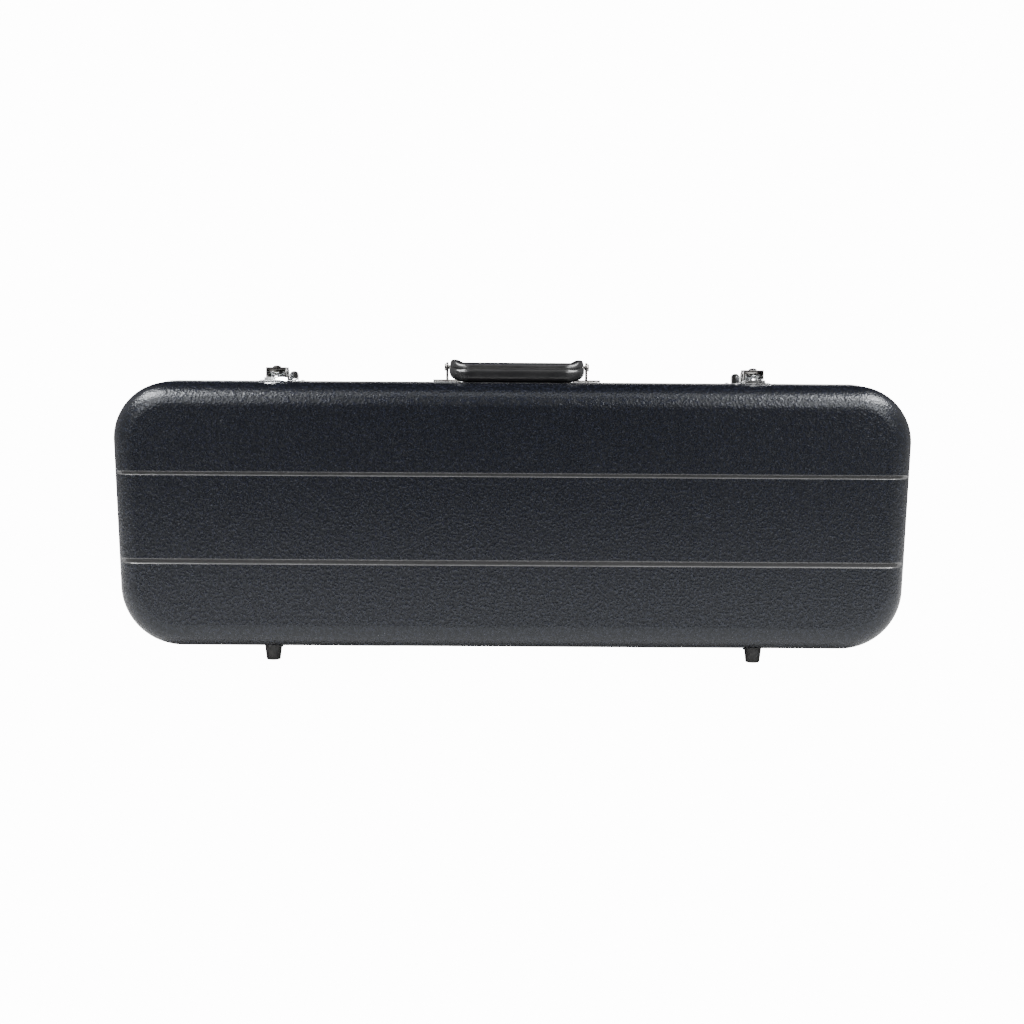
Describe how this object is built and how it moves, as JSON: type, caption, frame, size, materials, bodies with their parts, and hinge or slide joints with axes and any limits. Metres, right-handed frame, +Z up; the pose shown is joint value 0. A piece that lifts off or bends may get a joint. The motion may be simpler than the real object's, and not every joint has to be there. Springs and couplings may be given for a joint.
{
  "type": "violin case",
  "caption": "Oblong hard-shell violin case with two grooved moulded shells, folding handle, draw latches, feet, hinged lid and fitted foam interior.",
  "frame": {"origin": "bottom centre of the overall box, on the surface the feet stand on, halfway along the case and halfway between the lid face and the back of the base", "axes": "+X along the case towards the scroll end, -Y out of the lid face, +Y out of the back of the base, +Z up towards the handle"},
  "size_m": [0.8, 0.144, 0.305],
  "materials": {
    "moulded_shell": "black hard plastic with a fine hair-cell grain",
    "valance_aluminium": "brushed",
    "foot_rubber": "matte black",
    "pin_steel": "turned",
    "hinge_steel": "zinc plated",
    "grip_plastic": "semi-gloss moulded black",
    "bracket_steel": "nickel plated",
    "latch_chrome": "polished",
    "plush_lining": "charcoal plush over foam",
    "webbing": "black woven webbing",
    "black_plastic": "black moulded",
    "pocket_cloth": "charcoal cloth"
  },
  "bodies": {
    "base": {"base_shell": "moulded_shell", "base_valance": "valance_aluminium", "rear_foot_left": "foot_rubber", "rear_foot_right": "foot_rubber", "rear_foot_screws": "pin_steel", "hinge_base_leaf_left": "hinge_steel", "hinge_base_leaf_right": "hinge_steel", "hinge_pin_left": "pin_steel", "hinge_pin_right": "pin_steel", "hinge_base_rivets": "pin_steel", "handle_bracket_left": "bracket_steel", "handle_bracket_right": "bracket_steel", "handle_pin_left": "pin_steel", "handle_pin_right": "pin_steel", "handle_rivets": "pin_steel", "latch_keeper_left": "latch_chrome", "latch_keeper_right": "latch_chrome", "latch_keeper_rivets": "pin_steel", "foam_bed": "plush_lining", "neck_cradle": "plush_lining", "neck_strap_upper": "webbing", "neck_strap_lower": "webbing", "pocket_divider": "plush_lining", "accessory_hinge": "black_plastic", "accessory_hinge_pin": "pin_steel"},
    "lid": {"lid_shell": "moulded_shell", "lid_valance": "valance_aluminium", "front_foot_left": "foot_rubber", "front_foot_right": "foot_rubber", "front_foot_screws": "pin_steel", "hinge_lid_leaf_left": "hinge_steel", "hinge_lid_leaf_right": "hinge_steel", "hinge_lid_rivets": "pin_steel", "latch_plate_left": "latch_chrome", "latch_plate_right": "latch_chrome", "latch_pivot_pin_left": "pin_steel", "latch_pivot_pin_right": "pin_steel", "latch_plate_rivets": "pin_steel", "lid_lining": "plush_lining", "bow_clip_base_upper": "black_plastic", "bow_clip_base_lower": "black_plastic", "bow_tip_pocket_upper": "pocket_cloth", "bow_tip_pocket_lower": "pocket_cloth"},
    "handle": {"handle_grip": "grip_plastic"},
    "latch_lever_left": {"latch_lever_left": "latch_chrome", "latch_claw_pin_left": "pin_steel", "latch_stud_left": "latch_chrome"},
    "latch_claw_left": {"latch_claw_left": "latch_chrome"},
    "latch_lever_right": {"latch_lever_right": "latch_chrome", "latch_claw_pin_right": "pin_steel", "latch_stud_right": "latch_chrome"},
    "latch_claw_right": {"latch_claw_right": "latch_chrome"},
    "accessory_lid": {"accessory_lid": "plush_lining", "accessory_lid_tab": "webbing"},
    "bow_clip_upper": {"bow_clip_upper": "black_plastic"},
    "bow_clip_lower": {"bow_clip_lower": "black_plastic"}
  },
  "joints": [
    {"name": "lid_hinge", "type": "hinge", "parent": "base", "child": "lid", "pos_m": [0, -0.01, 0.0116], "axis": [1, 0, 0], "range_deg": [0, 100]},
    {"name": "handle_swing", "type": "hinge", "parent": "base", "child": "handle", "pos_m": [0.004, 0.002, 0.2975], "axis": [-1, 0, 0], "range_deg": [0, 190]},
    {"name": "latch_lever_swing_left", "type": "hinge", "parent": "lid", "child": "latch_lever_left", "pos_m": [-0.237, -0.0215, 0.2885], "axis": [-1, 0, 0], "range_deg": [0, 90]},
    {"name": "latch_claw_swing_left", "type": "hinge", "parent": "latch_lever_left", "child": "latch_claw_left", "pos_m": [-0.237, -0.0265, 0.291], "axis": [1, 0, 0], "range_deg": [0, 117]},
    {"name": "latch_lever_swing_right", "type": "hinge", "parent": "lid", "child": "latch_lever_right", "pos_m": [0.241, -0.0215, 0.2885], "axis": [-1, 0, 0], "range_deg": [0, 90]},
    {"name": "latch_claw_swing_right", "type": "hinge", "parent": "latch_lever_right", "child": "latch_claw_right", "pos_m": [0.241, -0.0265, 0.291], "axis": [1, 0, 0], "range_deg": [0, 117]},
    {"name": "accessory_lid_hinge", "type": "hinge", "parent": "base", "child": "accessory_lid", "pos_m": [0.082, -0.0001, 0.042], "axis": [1, 0, 0], "range_deg": [0, 88]},
    {"name": "bow_clip_turn_upper", "type": "hinge", "parent": "lid", "child": "bow_clip_upper", "pos_m": [0.3, -0.055, 0.1985], "axis": [0, 1, 0], "range_deg": [0, 90]},
    {"name": "bow_clip_turn_lower", "type": "hinge", "parent": "lid", "child": "bow_clip_lower", "pos_m": [0.3, -0.055, 0.0985], "axis": [0, 1, 0], "range_deg": [0, 90]}
  ],
  "couplings": [
    {"joint": "latch_claw_swing_left", "follows": "latch_lever_swing_left", "ratio": 1.28},
    {"joint": "latch_claw_swing_right", "follows": "latch_lever_swing_right", "ratio": 1.28}
  ]
}
